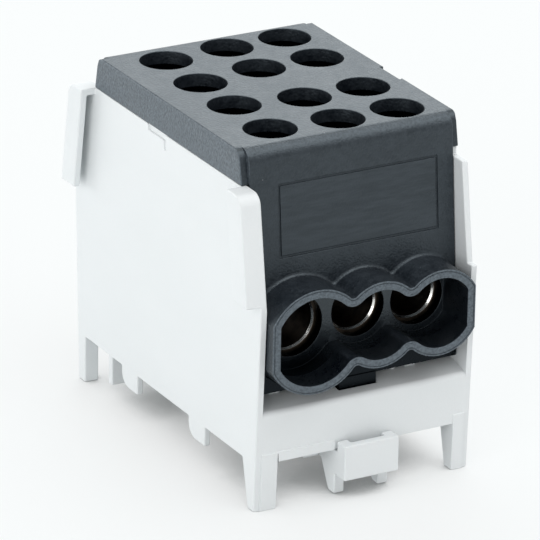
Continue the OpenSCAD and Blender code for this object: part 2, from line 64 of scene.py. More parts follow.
# Sizes of the solids that edges and finishes follow; SHIFT is the place of the walls' middle across the block
insert_low, insert_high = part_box("insulating_insert")
SHIFT = (insert_low.x + insert_high.x) / 2
TOP = insert_high.z
RIM_FOOT = TOP - 6.0 * MM
PANEL_FOOT = 20.3 * MM
WALL_OUTSIDE = (insert_high.x - insert_low.x) / 2
WALL_INSIDE = WALL_OUTSIDE - 1.15 * MM
INSERT_HALF = WALL_INSIDE - 0.2 * MM
METAL_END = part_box("terminal_body")[1].y
COLLAR_FLOOR = METAL_END + 2.1 * MM
COLLAR_MOUTH = insert_high.y
COLLAR_WALL = 1.5 * MM
TIP_GAP = 0.5 * MM


class Body(Enum):
    """Moving groups of the block that pieces ride on."""

    BLOCK = "block"
    CLIP = "rail_clip"
    SCREW = "clamp_screw_"


class Slot(Enum):
    """Material slots of the record."""

    PALE = "pale_plastic"
    BLACK = "black_plastic"
    METAL = "terminal_metal"
    STEEL = "screw_steel"


@dataclass(frozen=True)
class Conductor:
    """One of the three conductors that pass through the block.

    Attributes:
        x: place of its axis across the block.
        z: height of its axis.
        bore: radius of its bore in the metal.
        lobe: outside radius of the collar round it.
        rows: places of its screws along it.
    """

    x: float
    z: float
    bore: float
    lobe: float
    rows: tuple[float, ...]

    def off_axis(self, point: Vector) -> float:
        """Returns the distance of a point from the axis."""
        return math.hypot(point.x - self.x, point.z - self.z)


MAIN_ROWS = tuple(y * MM for y in (-18.5, -6.0, 6.0, 18.5))
BRANCH_ROWS = tuple(y * MM for y in (-19.5, -8.0, 8.0, 19.5))
CONDUCTORS = (
    Conductor(-11.2 * MM + SHIFT, 30.6 * MM, 4.9 * MM, 9.4 * MM, MAIN_ROWS),
    Conductor(1.3 * MM + SHIFT, 31.4 * MM, 4.4 * MM, 7.8 * MM, BRANCH_ROWS),
    Conductor(12.8 * MM + SHIFT, 31.4 * MM, 4.4 * MM, 7.8 * MM, BRANCH_ROWS),
)


class Value:
    """A shader socket that takes part in sums like a number."""

    def __init__(self, tree: "ShaderTree", socket: bpy.types.NodeSocket) -> None:
        """Wraps a socket of a tree."""
        self.tree = tree
        self.socket = socket

    def _maths(self, operation: str, first: Any, second: Any = 0.0) -> "Value":
        """Returns the result of a Math node on one or two values."""
        node = self.tree.node("ShaderNodeMath", {"operation": operation}, {0: first, 1: second})
        return Value(self.tree, node.outputs[0])

    def __add__(self, other: Any) -> "Value":
        """Returns this value plus another."""
        return self._maths("ADD", self, other)

    def __radd__(self, other: Number) -> "Value":
        """Returns a number plus this value."""
        return self._maths("ADD", other, self)

    def __sub__(self, other: Any) -> "Value":
        """Returns this value less another."""
        return self._maths("SUBTRACT", self, other)

    def __rsub__(self, other: Number) -> "Value":
        """Returns a number less this value."""
        return self._maths("SUBTRACT", other, self)

    def __mul__(self, other: Any) -> "Value":
        """Returns this value times another."""
        return self._maths("MULTIPLY", self, other)

    def __rmul__(self, other: Number) -> "Value":
        """Returns a number times this value."""
        return self._maths("MULTIPLY", other, self)

    def __pow__(self, other: Any) -> "Value":
        """Returns this value to the power of another."""
        return self._maths("POWER", self, other)

    def __rpow__(self, other: Number) -> "Value":
        """Returns a number to the power of this value."""
        return self._maths("POWER", other, self)

    def __abs__(self) -> "Value":
        """Returns this value without its sign."""
        return self._maths("ABSOLUTE", self)

    def sine(self) -> "Value":
        """Returns the sine of this value, taken in radians."""
        return self._maths("SINE", self)

    def least(self, other: Any) -> "Value":
        """Returns the smaller of this and another value."""
        return self._maths("MINIMUM", self, other)

    def most(self, *others: Any) -> "Value":
        """Finds the largest of this and other values.

        Args:
            others: the other values.

        Returns:
            The largest.
        """
        largest = self
        for other in others:
            largest = self._maths("MAXIMUM", largest, other)
        return largest

    def ramp(self, low: float, high: float, to_low: float = 0.0, to_high: float = 1.0) -> "Value":
        """Maps low..high smoothly onto to_low..to_high.

        Args:
            low: value that maps to to_low.
            high: value that maps to to_high.
            to_low: result at and below low.
            to_high: result at and above high.

        Returns:
            The mapped value.
        """
        node = self.tree.node("ShaderNodeMapRange", {"interpolation_type": "SMOOTHSTEP"},
                              {0: self, 1: low, 2: high, 3: to_low, 4: to_high})
        return Value(self.tree, node.outputs[0])

    def above(self, level: float, soft: float) -> "Value":
        """Returns 1 above a level and 0 below it, with a change that is soft to either side."""
        return self.ramp(level - soft, level + soft)

    def below(self, level: float, soft: float) -> "Value":
        """Returns 1 below a level and 0 above it, with a change that is soft to either side."""
        return self.ramp(level - soft, level + soft, 1.0, 0.0)


class ShaderTree:
    """The node tree of one material, with one way to add a node."""

    def __init__(self, name: str) -> None:
        """Starts a material with a surface and the point's coordinates.

        Args:
            name: name of the material.
        """
        self.material = bpy.data.materials.new(name)
        self.material.use_nodes = True
        self.tree = self.material.node_tree
        self.tree.nodes.clear()
        self.output = self.node("ShaderNodeOutputMaterial")
        self.surface = self.node("ShaderNodeBsdfPrincipled")
        self.feed(self.output.inputs["Surface"], self.surface.outputs[0])
        self.point = self.node("ShaderNodeTexCoord").outputs["Object"]
        parts = self.node("ShaderNodeSeparateXYZ", None, {0: self.point})
        self.x, self.y, self.z = (Value(self, socket) for socket in parts.outputs)

    def node(self, kind: str, settings: dict[str, Any] | None = None,
             inputs: dict[Any, Any] | None = None) -> bpy.types.Node:
        """Adds a node.

        Args:
            kind: Blender's node type.
            settings: properties to set on the node.
            inputs: socket name or index to a constant, a socket or a Value.

        Returns:
            The node.
        """
        node = self.tree.nodes.new(kind)
        for key, value in (settings or {}).items():
            setattr(node, key, value)
        for key, value in (inputs or {}).items():
            self.feed(node.inputs[key], value)
        return node

    def feed(self, socket: bpy.types.NodeSocket, value: Any) -> None:
        """Links a value to an input, or sets a constant on it.

        Args:
            socket: the input.
            value: a Value or a socket to link, or a constant.
        """
        if isinstance(value, Value):
            self.tree.links.new(value.socket, socket)
        elif isinstance(value, bpy.types.NodeSocket):
            self.tree.links.new(value, socket)
        else:
            socket.default_value = value

    def set(self, **values: Any) -> None:
        """Feeds inputs of the surface by name, with _ for a space."""
        for name, value in values.items():
            self.feed(self.surface.inputs[name.replace("_", " ")], value)

    def noise(self, size: float, detail: float = 2.0, rough: float = 0.5,
              stretch: Sequence[float] | None = None) -> Value:
        """Makes soft noise.

        Args:
            size: width of a lump.
            detail: octaves of finer lumps.
            rough: strength of each finer octave.
            stretch: how much longer the lumps are along X, Y and Z.

        Returns:
            A value from 0 to 1.
        """
        point: Any = self.point
        if stretch is not None:
            scale = tuple(1.0 / s for s in stretch)
            scaled = self.node("ShaderNodeVectorMath", {"operation": "MULTIPLY"}, {0: point, 1: scale})
            point = scaled.outputs[0]
        lump_at_scale_one = 0.5
        node = self.node("ShaderNodeTexNoise", None, {
            "Vector": point, "Scale": lump_at_scale_one / size, "Detail": detail, "Roughness": rough})
        return Value(self, node.outputs["Fac"])

    def cells(self, size: float) -> Value:
        """Returns the distance to the nearest of points about size metres apart, in cells."""
        node = self.node("ShaderNodeTexVoronoi", None, {"Vector": self.point, "Scale": 1.0 / size})
        return Value(self, node.outputs["Distance"])

    def dust(self, spacing: float, radius: float, share: float) -> Value:
        """Makes specks strewn over the surface.

        Args:
            spacing: mean distance between the places where a speck may lie.
            radius: radius of the largest speck.
            share: share of the places that hold one.

        Returns:
            1 inside a speck and 0 outside.
        """
        node = self.node("ShaderNodeTexVoronoi", None, {"Vector": self.point, "Scale": 1.0 / spacing})
        chance = self.node("ShaderNodeSeparateColor", None, {0: node.outputs["Color"]})
        size = Value(self, chance.outputs[0]).ramp(1.0 - share, 1.0, 0.0, radius / spacing)
        return (size - Value(self, node.outputs["Distance"])).ramp(0.0, 0.3 * radius / spacing)

    def off_axis(self, conductor: Conductor) -> Value:
        """Returns the distance from a conductor's axis, in metres."""
        return ((self.x - conductor.x) ** 2 + (self.z - conductor.z) ** 2) ** 0.5

    def blend(self, share: Any, first: Any, second: Any) -> bpy.types.NodeSocket:
        """Mixes two colours.

        Args:
            share: 0 for the first colour, 1 for the second.
            first: a colour, or a socket that gives one.
            second: a colour, or a socket that gives one.

        Returns:
            The socket of the mixed colour.
        """
        ends = [(*end, 1.0) if isinstance(end, tuple) else end for end in (first, second)]
        node = self.node("ShaderNodeMix", {"data_type": "RGBA"}, {0: share, 6: ends[0], 7: ends[1]})
        return node.outputs[2]

    def bump(self, height: Value, depth: float) -> None:
        """Raises the surface by height times depth metres."""
        node = self.node("ShaderNodeBump", None, {"Strength": 1.0, "Distance": depth, "Height": height})
        self.feed(self.surface.inputs["Normal"], node.outputs[0])


@dataclass(frozen=True)
class PaleMoulding:
    """Light grey thermoplastic: satin, very fine grain, faint flow shading.

    Attributes:
        name: name of the material.
        light: colour of the paler flow bands, linear.
        deep: colour of the deeper flow bands, linear.
        roughness: mean roughness.
        flow: width of a flow band.
        grain: width of one pit of the mould's grain.
        relief: height of the grain.
    """

    name: str = "pale_moulded"
    light: Colour = (0.768, 0.797, 0.806)
    deep: Colour = (0.748, 0.778, 0.787)
    roughness: float = 0.46
    flow: float = 8 * MM
    grain: float = 0.35 * MM
    relief: float = 0.005 * MM

    def make(self) -> bpy.types.Material:
        """Makes the finish.

        Returns:
            The new material.
        """
        tree = ShaderTree(self.name)
        flow = tree.noise(self.flow, 3.0, 0.55, (1.0, 2.2, 0.8))
        speck = tree.noise(0.5 * self.grain, 1.0)
        tree.set(Base_Color=tree.blend((flow * 0.75 + speck * 0.25).ramp(0.3, 0.7), self.deep, self.light),
                 Roughness=(flow - 0.5) * 0.08 + (speck - 0.5) * 0.06 + self.roughness)
        tree.bump(tree.cells(self.grain).ramp(0.05, 0.75) + speck * 0.6, self.relief)
        return tree.material


@dataclass(frozen=True)
class BlackMoulding:
    """Black thermoplastic: spark-eroded grain, a streaked label field, rims painted paler as sheen and partly
    wear, painted shade in the hollows, and dust.

    Attributes:
        name: name of the material.
        light: colour of the paler flow bands, linear.
        deep: colour of the deeper flow bands, linear.
        hollow: colour of the painted shade in the wells, inside the collars, at the panels' feet and in the
            entry holes, linear.
        worn_and_sheen: colour of the grain's tips where the rim is painted paler, as sheen and partly wear,
            linear.
        dust: colour of the dust, linear.
        tint: colour of its gloss seen straight on, linear.
        roughness: mean roughness.
        flow: width of a flow band.
        blotch: width of a blotch of the mould's finish.
        streak: height of a streak on the label field.
        grain: width of one pit of the mould's grain.
        relief: height of the grain.
        dust_gap: mean distance between the places where dust may lie.
        dust_size: radius of the largest grain of dust.
        dust_share: share of those places that hold dust.
        label: left, right, lower and upper side of the label field.
        lit_depth: depth below the top from which the wells are painted dark as shade.
        foot_shade: heights between which the painted shade at the foot of the panels fades.
        sill: distance of the panels' feet from the block's middle, at most.
        soft: half the width over which most zones fade.
    """

    name: str = "black_moulded"
    light: Colour = (0.0170, 0.0215, 0.0275)
    deep: Colour = (0.0005, 0.0020, 0.0050)
    hollow: Colour = (0.0015, 0.0025, 0.0040)
    worn_and_sheen: Colour = (0.104, 0.125, 0.145)
    dust: Colour = (0.32, 0.33, 0.34)
    tint: Colour = (0.79, 0.92, 1.0)
    roughness: float = 0.43
    flow: float = 7 * MM
    blotch: float = 0.8 * MM
    streak: float = 0.5 * MM
    grain: float = 0.42 * MM
    relief: float = 0.030 * MM
    dust_gap: float = 2.6 * MM
    dust_size: float = 0.12 * MM
    dust_share: float = 0.45
    label: tuple[float, float, float, float] = (-12.55 * MM, 17.45 * MM, 43.9 * MM, 56.0 * MM)
    lit_depth: float = 2.35 * MM
    foot_shade: tuple[float, float] = (22.5 * MM, 27.5 * MM)
    sill: float = 30.6 * MM
    soft: float = 0.15 * MM

    def make(self) -> bpy.types.Material:
        """Makes the finish.

        Returns:
            The new material.
        """
        tree = ShaderTree(self.name)
        flow = tree.noise(self.flow, 4.0, 0.6)
        speck = tree.noise(0.6 * self.grain, 2.0, 0.6)
        streak = tree.noise(self.streak, 3.0, 0.65, (6.0, 6.0, 1.0))
        blotch = tree.noise(self.blotch, 3.0, 0.7)
        bare_field = self.label_field(tree)
        cavity = self.cavity(tree)
        dark = self.painted_shade_zones(tree, cavity)
        # Painted shade: darker inside the collars, darkest in the wells, at the panels' feet and in the entry
        # holes
        painted_shade = (cavity * 0.6).most(dark)
        mottle = (speck * 0.4 + blotch * 0.6) * (1 - bare_field) + streak * bare_field
        mouth = abs(tree.y).above(COLLAR_MOUTH - 0.12 * MM, 0.06 * MM)
        # Painted sheen, partly wear: paler rim sides, step, top, front ends and collar mouths
        rubbed_and_sheen = (mouth + self.rubbed_and_sheen(tree)).least(1)
        dust = tree.dust(self.dust_gap, self.dust_size, self.dust_share) * (1 - cavity)
        ground = tree.blend((flow * 0.25 + mottle * 0.75).ramp(0.34, 0.66), self.deep, self.light)
        shaded = tree.blend(painted_shade, ground, self.hollow)
        # Lays the paler painted sheen, partly wear, over the grain's tips
        scuffed_and_sheen = tree.blend(rubbed_and_sheen * speck.ramp(0.3, 0.7, 0.4, 1.0), shaded, self.worn_and_sheen)
        # A metallic share takes the gloss off the painted shade, because its colour is almost black
        tree.set(Base_Color=tree.blend(dust * 0.7, scuffed_and_sheen, self.dust),
                 Roughness=(flow - 0.5) * 0.16 + (mottle - 0.5) * 0.4 + self.roughness
                 - bare_field * 0.05 + mouth * 0.08 - cavity * 0.12 - dark * 0.15,
                 Metallic=dark * 0.9,
                 Specular_IOR_Level=0.8, Specular_Tint=(*self.tint, 1.0))
        pits = tree.cells(self.grain).ramp(0.05, 0.75) + speck * 0.9
        tree.bump(pits * (1 - bare_field * 0.4 - painted_shade) + dust * 2.0 + flow * 0.8, self.relief)
        return tree.material

    def painted_shade_zones(self, tree: ShaderTree, cavity: Value) -> Value:
        """Finds where shade is painted, dark and without gloss: the wells, the panels' feet under the
        collars, the entry holes.

        Args:
            tree: the material's nodes.
            cavity: 1 inside the collars.

        Returns:
            1 in the painted shade and 0 elsewhere.
        """
        aside, along = abs(tree.x - SHIFT), abs(tree.y)
        inboard = aside.below(INSERT_HALF - 0.55 * MM, self.soft)
        over_metal = along.below(METAL_END - 0.25 * MM, self.soft)
        # Painted shade: the wells below lit_depth, the panels' feet under the collars and the entry holes
        wells = tree.z.below(TOP - self.lit_depth, 0.1 * MM) * inboard * over_metal
        feet = tree.z.ramp(*self.foot_shade, 0.9, 0.0) * along.below(self.sill, 0.2 * MM)
        holes = along.below(COLLAR_FLOOR - 0.175 * MM, 0.125 * MM) * cavity
        return wells.most(feet, holes)

    def rubbed_and_sheen(self, tree: ShaderTree) -> Value:
        """Finds where the rim is painted paler, as sheen and partly as wear: its sides and step and, less,
        its top and ends.

        Args:
            tree: the material's nodes.

        Returns:
            How much paler it is painted, from 0 to 1.
        """
        aside, along = abs(tree.x - SHIFT), abs(tree.y)
        on_rim = tree.z.above(RIM_FOOT + self.soft, self.soft)
        sides = aside.above(WALL_OUTSIDE - 0.11 * MM, 0.09 * MM) * on_rim
        beside = abs(aside - INSERT_HALF).ramp(0.04 * MM, 0.1 * MM, 0.6, 0.0)
        step = beside * on_rim * along.above(METAL_END - 0.25 * MM, self.soft)
        top = tree.z.above(TOP - 0.095 * MM, 0.065 * MM)
        ends = tree.z.above(TOP - 0.95 * MM, 0.85 * MM) * along.above(METAL_END - 0.6 * MM, 0.2 * MM)
        return sides.most(step, top.most(ends) * 0.52)

    def cavity(self, tree: ShaderTree) -> Value:
        """Finds the inside of the collars, which is painted darker as shade and given a smoother finish.

        Args:
            tree: the material's nodes.

        Returns:
            1 inside and 0 outside.
        """
        along = abs(tree.y)
        lobes = [(tree.off_axis(c) - (c.lobe - COLLAR_WALL)).below(0.15 * MM, 0.1 * MM) for c in CONDUCTORS]
        before_metal = along.above(METAL_END - 0.3 * MM, 0.1 * MM)
        behind_mouth = along.below(COLLAR_MOUTH - 0.3 * MM, self.soft)
        return lobes[0].most(*lobes[1:]) * before_metal * behind_mouth

    def label_field(self, tree: ShaderTree) -> Value:
        """Finds the label field of the front panel.

        Args:
            tree: the material's nodes.

        Returns:
            1 inside it and 0 outside.
        """
        left, right, low, high = self.label
        across = tree.x.above(left, self.soft) * tree.x.below(right, self.soft)
        up = tree.z.above(low, self.soft) * tree.z.below(high, self.soft)
        at_front = tree.y.below(-24.5 * MM, 0.5 * MM)
        return across * up * at_front


@dataclass(frozen=True)
class PlatedBlock:
    """Plated metal of the terminal body: bright bore mouths, dull tool-marked bores and end faces.

    Attributes:
        name: name of the material.
        bright: colour of the cut mouths of the bores, linear.
        dull: near-black colour that patches the bores' walls and the end faces, linear.
        bored: colour of the bores' walls, linear.
        roughness: roughness of clean plating.
        patch: width of a patch of the dull colour.
        ring: spacing of the drill's marks.
        relief: height of the drill's marks.
        chamfer: length of the chamfer at a bore's mouth.
    """

    name: str = "plated_metal"
    bright: Colour = (0.86, 0.85, 0.82)
    dull: Colour = (0.020, 0.018, 0.015)
    bored: Colour = (0.13, 0.10, 0.075)
    roughness: float = 0.16
    patch: float = 2.2 * MM
    ring: float = 0.4 * MM
    relief: float = 0.004 * MM
    chamfer: float = 0.4 * MM

    def make(self) -> bpy.types.Material:
        """Makes the finish.

        Returns:
            The new material.
        """
        tree = ShaderTree(self.name)
        patch = tree.noise(self.patch, 3.0, 0.6)
        speck = tree.noise(0.12 * MM, 1.0)
        marks = (tree.y * (2 * math.pi / self.ring) + patch * 5.0).sine()
        along = abs(tree.y)
        inside = along.below(METAL_END - self.chamfer - 0.05 * MM, 0.1 * MM)
        rings = [abs(tree.off_axis(c) - c.bore - 0.15 * MM).below(0.33 * MM, 0.03 * MM) for c in CONDUCTORS]
        rim = rings[0].most(*rings[1:]) * (1 - inside) * along.below(METAL_END - 0.12 * MM, 0.04 * MM)
        walls = tree.blend(patch.ramp(0.35, 0.7), self.bored, self.dull)
        tree.set(Base_Color=tree.blend(rim * speck.ramp(0.15, 0.45, 0.55, 1.0), walls, self.bright),
                 Roughness=(1 - rim) * 0.24 + speck * 0.08 + self.roughness, Metallic=1.0)
        tree.bump(marks * 0.5 + speck, self.relief)
        return tree.material


@dataclass(frozen=True)
class ZincSteel:
    """Dull zinc on cut steel: soft clouds, fine turning marks.

    Attributes:
        name: name of the material.
        bright: colour of clean zinc, linear.
        dull: colour of clouded zinc, linear.
        roughness: roughness of clean zinc.
        cloud: width of a cloud.
        ring: spacing of the turning marks.
        relief: height of the turning marks.
    """

    name: str = "screw_steel"
    bright: Colour = (0.56, 0.56, 0.57)
    dull: Colour = (0.31, 0.30, 0.29)
    roughness: float = 0.3
    cloud: float = 1.4 * MM
    ring: float = 0.2 * MM
    relief: float = 0.003 * MM

    def make(self) -> bpy.types.Material:
        """Makes the finish.

        Returns:
            The new material.
        """
        tree = ShaderTree(self.name)
        cloud = tree.noise(self.cloud, 3.0, 0.6)
        speck = tree.noise(0.1 * MM, 1.0)
        tarnish = (cloud * 0.75 + speck * 0.25).ramp(0.38, 0.72)
        tree.set(Base_Color=tree.blend(tarnish, self.bright, self.dull),
                 Roughness=tarnish * 0.2 + speck * 0.08 + self.roughness, Metallic=1.0)
        tree.bump((tree.z * (2 * math.pi / self.ring) + cloud * 3.0).sine() * 0.3 + speck, self.relief)
        return tree.material


@dataclass(frozen=True)
class WhiteTable:
    """White table top that glows a little where it is seen or mirrored, less where the block shades it.

    Attributes:
        name: name of the material.
        lit: colour that throws light back at the block, linear.
        seen: colour that is seen or mirrored, linear, beside the glow.
        glow: colour of the glow, linear.
        reach: how far the block's shade reaches.
    """

    name: str = "table_white"
    lit: Colour = (0.80, 0.81, 0.81)
    seen: Colour = (0.212, 0.238, 0.240)
    glow: Colour = (0.678, 0.670, 0.668)
    reach: float = 14 * MM

    def make(self) -> bpy.types.Material:
        """Makes the finish.

        Returns:
            The new material.
        """
        tree = ShaderTree(self.name)
        path = tree.node("ShaderNodeLightPath").outputs
        rays = [Value(tree, path[f"Is {kind} Ray"]) for kind in ("Camera", "Glossy", "Transmission")]
        seen = sum(rays, 0).least(1)
        shade = tree.node("ShaderNodeAmbientOcclusion", {"samples": 12}, {"Distance": self.reach})
        sky = Value(tree, shade.outputs["AO"])
        open_sky = sky.ramp(0.28, 0.5, 0.2, 0.9) + sky.ramp(0.5, 0.8, 0.0, 0.1)
        tree.set(Base_Color=tree.blend(seen, self.lit, self.seen),
                 Emission_Color=tree.blend(seen * open_sky, (0.0, 0.0, 0.0), self.glow),
                 Emission_Strength=1.0, Roughness=0.7, Specular_IOR_Level=0.15)
        return tree.material


Finish = Union[PaleMoulding, BlackMoulding, PlatedBlock, ZincSteel]


@dataclass
class Finishes:
    """The finishes of the block, each made once.

    Attributes:
        made: the materials made so far, by name.
    """

    made: dict[str, bpy.types.Material] = field(default_factory=dict)

    def get(self, finish: Finish) -> bpy.types.Material:
        """Gives the material of a finish.

        Args:
            finish: the finish.

        Returns:
            Its material, made at the first call.
        """
        if finish.name not in self.made:
            self.made[finish.name] = finish.make()
        return self.made[finish.name]


@dataclass(frozen=True)
class EdgeSite:
    """What is known of an edge when its radius is chosen.

    Attributes:
        middle: its middle point.
        normals: the normals of its two faces.
        hollow: True where the faces meet in an inside corner.
    """

    middle: Vector
    normals: tuple[Vector, ...]
    hollow: bool

    @property
    def aside(self) -> float:
        """Returns the distance from the walls' middle, across the block."""
        return abs(self.middle.x - SHIFT)

    @property
    def along(self) -> float:
        """Returns the distance from the block's middle, along the conductors."""
        return abs(self.middle.y)

    @property
    def up(self) -> float:
        """Returns the height."""
        return self.middle.z


@dataclass
class MouldedShell:
    """A moulded node with its edges broken to small radii.

    Attributes:
        node: name of the node it stands for.
        body: name of the body it rides on.
        slot: the record's material slot, not used.
        finish: surface of the piece.
        outside: radius of an outside edge.
        inside: radius of an inside edge.
        sharp: angle between two faces, in degrees, above which their edge is broken.
        segments: facets across a broken edge.
        least: radius under which an edge stays as it is.
        share: the most of a neighbouring edge's length that a radius may take up.
        crease: angle between two faces, in degrees, above which the shading breaks.
        level: angle between two faces, in degrees, under which they are parts of one flat.
        weld: distance under which two points become one.
        join: angle between two faces, in degrees, under which they become one.
    """

    node: str
    body: str
    slot: Slot
    finish: Finish
    outside: float = 0.25 * MM
    inside: float = 0.12 * MM
    sharp: float = 32.0
    segments: int = 3
    least: float = 0.02 * MM
    share: float = 0.42
    crease: float = 40.0
    level: float = 0.5
    weld: float = 0.002 * MM
    join: float = 0.4

    def build(self, finishes: Finishes) -> bpy.types.Object:
        """Makes the piece.

        Args:
            finishes: where its surface comes from.

        Returns:
            The new object, which rides on its body and hides the node.
        """
        solid = bmesh.new()
        solid.from_mesh(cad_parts[self.node].data)
        bmesh.ops.remove_doubles(solid, verts=solid.verts, dist=self.weld)
        bmesh.ops.dissolve_limit(solid, angle_limit=math.radians(self.join), use_dissolve_boundaries=False,
                                 verts=solid.verts, edges=solid.edges, delimit={"NORMAL"})
        # A stray facet has open edges on more than one side, and no piece of the surface needs it
        stray = [face for face in solid.faces if sum(edge.is_boundary for edge in face.edges) > 1]
        bmesh.ops.delete(solid, geom=stray, context="FACES")
        radii = self.edge_radii(solid)
        mesh = bpy.data.meshes.new(self.node + "_shell")
        solid.to_mesh(mesh)
        solid.free()
        piece = bpy.data.objects.new(self.node + "_shell", mesh)
        bpy.context.scene.collection.objects.link(piece)
        self.round_edges(piece, radii)
        self.refine(piece)
        self.shade(piece)
        piece.data.materials.clear()
        piece.data.materials.append(finishes.get(self.finish))
        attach(piece, self.body)
        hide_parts(self.node)
        broken = sum(radius > 0 for radius in radii)
        log.info("%s: %d edges broken, %d faces", piece.name, broken, len(piece.data.polygons))
        return piece

    def edge_radius(self, site: EdgeSite) -> float:
        """Returns the radius that an edge has where nothing limits it."""
        return self.inside if site.hollow else self.outside

    def refine(self, piece: bpy.types.Object) -> None:
        """Adds the fine relief of the piece; most pieces have none."""

    def edge_radii(self, solid: bmesh.types.BMesh) -> list[float]:
        """Chooses the radius of each edge, cut down to what its neighbours leave room for.

        Args:
            solid: the mesh of the piece.

        Returns:
            The radii, 0 for an edge that stays as it is.
        """
        radii = []
        for edge in solid.edges:
            angle = math.degrees(edge.calc_face_angle_signed(0.0)) if edge.is_manifold else 0.0
            if abs(angle) < self.sharp:
                radii.append(0.0)
                continue
            middle = (edge.verts[0].co + edge.verts[1].co) / 2
            normals = tuple(face.normal.copy() for face in edge.link_faces)
            wanted = self.edge_radius(EdgeSite(middle, normals, angle < 0))
            radius = min([wanted] + [self.share * length for length in self.side_lengths(edge)])
            radii.append(radius if radius > self.least else 0.0)
        return radii

    def side_lengths(self, edge: bmesh.types.BMEdge) -> list[float]:
        """Measures the edges that meet an edge, apart from those that only run on from it.

        Args:
            edge: the edge.

        Returns:
            Their lengths.
        """
        straight_on = -0.8
        lengths = []
        for vert in edge.verts:
            along = (edge.other_vert(vert).co - vert.co).normalized()
            for other in vert.link_edges:
                away = (other.other_vert(vert).co - vert.co).normalized()
                if other is not edge and along.dot(away) > straight_on:
                    lengths.append(other.calc_length())
        return lengths

    def round_edges(self, piece: bpy.types.Object, radii: list[float]) -> None:
        """Breaks the edges of the piece.

        Args:
            piece: the piece.
            radii: radius of each of its edges.
        """
        # An edge's weight is its share of the widest radius
        widest = max(radii)
        attribute = piece.data.attributes.new("bevel_weight_edge", "FLOAT", "EDGE")
        attribute.data.foreach_set("value", np.array(radii, np.float32) / widest)
        bevel = piece.modifiers.new("edges", "BEVEL")
        bevel.limit_method = "WEIGHT"
        bevel.width = widest
        bevel.segments = self.segments
        bevel.use_clamp_overlap = False
        bevel.miter_outer = "MITER_ARC"
        bevel.loop_slide = False
        self.apply(piece)

    def shade(self, piece: bpy.types.Object) -> None:
        """Gives the piece smooth normals in which a wide flat wins over the narrow facets beside it.

        Args:
            piece: the piece.
        """
        solid = bmesh.new()
        solid.from_mesh(piece.data)
        areas = self.flat_areas(solid)
        normals = [[Vector()] * len(face.loops) for face in solid.faces]
        for vert in solid.verts:
            for fan in self.fans(vert):
                for face in fan:
                    corner = [loop.vert for loop in face.loops].index(vert)
                    normals[face.index][corner] = self.mean_normal(face, fan, areas)
        mesh = piece.data
        mesh.polygons.foreach_set("use_smooth", [True] * len(mesh.polygons))
        for edge in solid.edges:
            mesh.edges[edge.index].use_edge_sharp = self.is_crease(edge)
        solid.free()
        mesh.normals_split_custom_set([normal for face in normals for normal in face])

    def mean_normal(self, face: bmesh.types.BMFace, fan: list[bmesh.types.BMFace],
                    areas: list[float]) -> Vector:
        """Averages the normals at a corner of a face, led by the widest flat.

        Args:
            face: the face.
            fan: the faces round the corner that no crease divides.
            areas: for each face, the area of the flat that it is part of.

        Returns:
            The mean of those normals of the fan that are near the face's own.
        """
        near = [other for other in fan if other.normal.angle(face.normal, 0.0) < math.radians(self.crease)]
        return sum((other.normal * areas[other.index] ** 2 for other in near), Vector()).normalized()

    def is_crease(self, edge: bmesh.types.BMEdge) -> bool:
        """Returns True where the shading breaks at an edge."""
        return edge.calc_face_angle(math.pi) > math.radians(self.crease)

    def fans(self, vert: bmesh.types.BMVert) -> list[list[bmesh.types.BMFace]]:
        """Groups the faces round a point.

        Args:
            vert: the point.

        Returns:
            Groups of faces that no crease divides.
        """
        left = list(vert.link_faces)
        groups = []
        while left:
            group = [left.pop()]
            for face in group:
                for edge in face.edges:
                    if vert in edge.verts and not self.is_crease(edge):
                        joined = [other for other in edge.link_faces if other in left]
                        group.extend(joined)
                        for other in joined:
                            left.remove(other)
            groups.append(group)
        return groups

    def flat_areas(self, solid: bmesh.types.BMesh) -> list[float]:
        """Measures the flats of the piece.

        Args:
            solid: the mesh of the piece.

        Returns:
            For each face, in square millimetres, the area of the flat that it is part of.
        """
        areas = [0.0] * len(solid.faces)
        seen: set[int] = set()
        for start in solid.faces:
            if start.index in seen:
                continue
            seen.add(start.index)
            flat = [start]
            for face in flat:
                for other in (other for edge in face.edges for other in edge.link_faces):
                    if other.index not in seen and self.is_level(other, start):
                        seen.add(other.index)
                        flat.append(other)
            total = sum(face.calc_area() for face in flat) / MM ** 2
            for face in flat:
                areas[face.index] = total
        return areas

    def is_level(self, face: bmesh.types.BMFace, other: bmesh.types.BMFace) -> bool:
        """Returns True where two faces can be parts of one flat."""
        return face.normal.angle(other.normal, 1.0) < math.radians(self.level)

    def apply(self, piece: bpy.types.Object) -> None:
        """Turns the modifiers of the piece into its mesh.

        Args:
            piece: the piece.
        """
        graph = bpy.context.evaluated_depsgraph_get()
        final = bpy.data.meshes.new_from_object(piece.evaluated_get(graph))
        final.name = piece.name
        piece.modifiers.clear()
        piece.data = final


@dataclass
class HousingShell(MouldedShell):
    """The base housing, crisp by the shelves' pads and where an apron ends flush with a wall.

    Attributes:
        pad_place: distances from the block's middle between which the pads lie.
        pad_level: heights between which the pads meet the shelves.
        apron_place: distance from the block's middle beyond which the aprons lie.
        apron_level: height below which the aprons lie.
    """

    pad_place: tuple[float, float] = (26 * MM, 28.3 * MM)
    pad_level: tuple[float, float] = (18.7 * MM, 19.7 * MM)
    apron_place: float = 31.5 * MM
    apron_level: float = 30 * MM

    def edge_radius(self, site: EdgeSite) -> float:
        """Chooses the radius of an edge.

        Args:
            site: the edge.

        Returns:
            The radius, 0 by the pads and at the aprons' flush ends.
        """
        on_pad_line = self.pad_place[0] < site.along < self.pad_place[1]
        by_pad = on_pad_line and self.pad_level[0] < site.up < self.pad_level[1]
        on_apron = site.along > self.apron_place and site.up < self.apron_level
        flush = on_apron and abs(site.aside - WALL_INSIDE) < 0.03 * MM
        return 0.0 if by_pad or flush else super().edge_radius(site)


